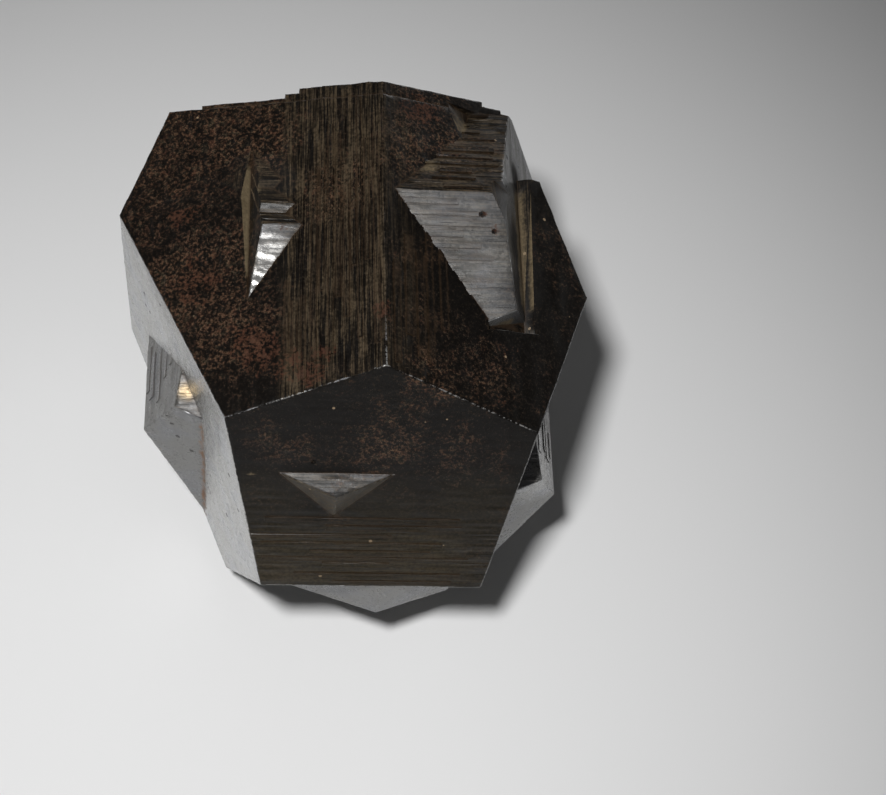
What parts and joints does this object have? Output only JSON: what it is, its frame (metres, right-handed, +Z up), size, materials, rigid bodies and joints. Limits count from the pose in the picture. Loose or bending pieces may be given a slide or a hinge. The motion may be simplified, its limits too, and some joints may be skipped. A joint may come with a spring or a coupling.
{
  "type": "pyrite crystal cluster",
  "caption": "Loose cluster of pyritohedral crystals grown through one another, with striped faces, growth ledges and pits, resting on a small flat on its underside.",
  "frame": {"origin": "on the resting face, straight under the crossing of the crystals' axes", "axes": "+Z up, with the main crystal's roof edge on top running along Y; -Y to the front, where the main crystal's large front face looks; +X to the right"},
  "size_m": [0.0369, 0.0419, 0.039],
  "materials": {
    "pyrite_skin": "dark brown oxidised pyrite, half glossy, with rust mottling and bright worn edges"
  },
  "bodies": {
    "root": {"pyrite_twin": "pyrite_skin"}
  },
  "joints": []
}
